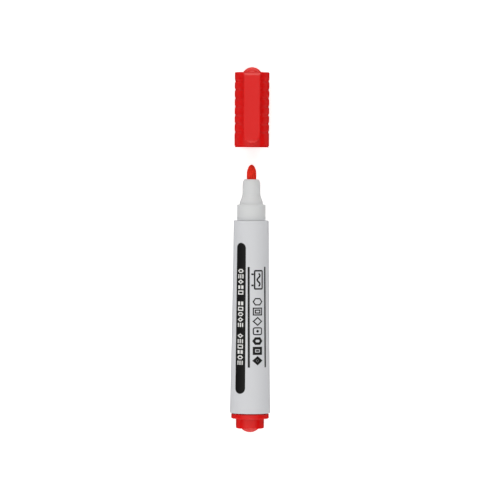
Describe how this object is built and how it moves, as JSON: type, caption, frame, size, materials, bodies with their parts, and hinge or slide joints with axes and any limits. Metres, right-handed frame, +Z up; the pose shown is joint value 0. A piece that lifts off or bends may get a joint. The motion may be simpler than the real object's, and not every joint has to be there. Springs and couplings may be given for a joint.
{
  "type": "whiteboard marker",
  "caption": "Round whiteboard marker with a bullet nib on a stepped nose, a barrel that widens towards its rear, an end plug, and a ribbed pull-off cap with a pocket clip.",
  "frame": {"origin": "on the surface that the marker lies on, under the middle of the marker and its pulled-off cap", "axes": "+X along the marker's axis towards the nib and the cap's closed end, +Z up, on the side of the cap where the clip is"},
  "size_m": [0.1716, 0.019, 0.0216],
  "materials": {
    "barrel_plastic": "smooth light-grey moulded polypropylene, satin gloss, with black screen printing",
    "holder_plastic": "smooth light-grey moulded polypropylene, satin gloss",
    "coloured_plastic": "bright red moulded polypropylene, satin gloss",
    "nib_fibre": "fine felted fibre soaked in red ink",
    "reservoir_fibre": "bundled fibre soaked in red ink",
    "reservoir_film": "thin clear-white plastic film",
    "liner_plastic": "soft natural-white moulded polyethylene"
  },
  "bodies": {
    "marker": {"barrel": "barrel_plastic", "nib_holder": "holder_plastic", "nib": "nib_fibre", "reservoir_core": "reservoir_fibre", "reservoir_wrap": "reservoir_film", "end_plug": "coloured_plastic"},
    "cap": {"cap": "coloured_plastic", "inner_cap": "liner_plastic"},
    "clip": {"clip": "coloured_plastic"}
  },
  "joints": [
    {"name": "cap_slide", "type": "slide", "parent": "marker", "child": "cap", "axis": [1, 0, 0], "range_m": [-0.0342, 0]},
    {"name": "clip_flex", "type": "hinge", "parent": "cap", "child": "clip", "pos_m": [0.08015, 0, 0.0207], "axis": [0, 1, 0], "range_deg": [0, 4], "stiffness_Nm_per_rad": 0.6}
  ]
}
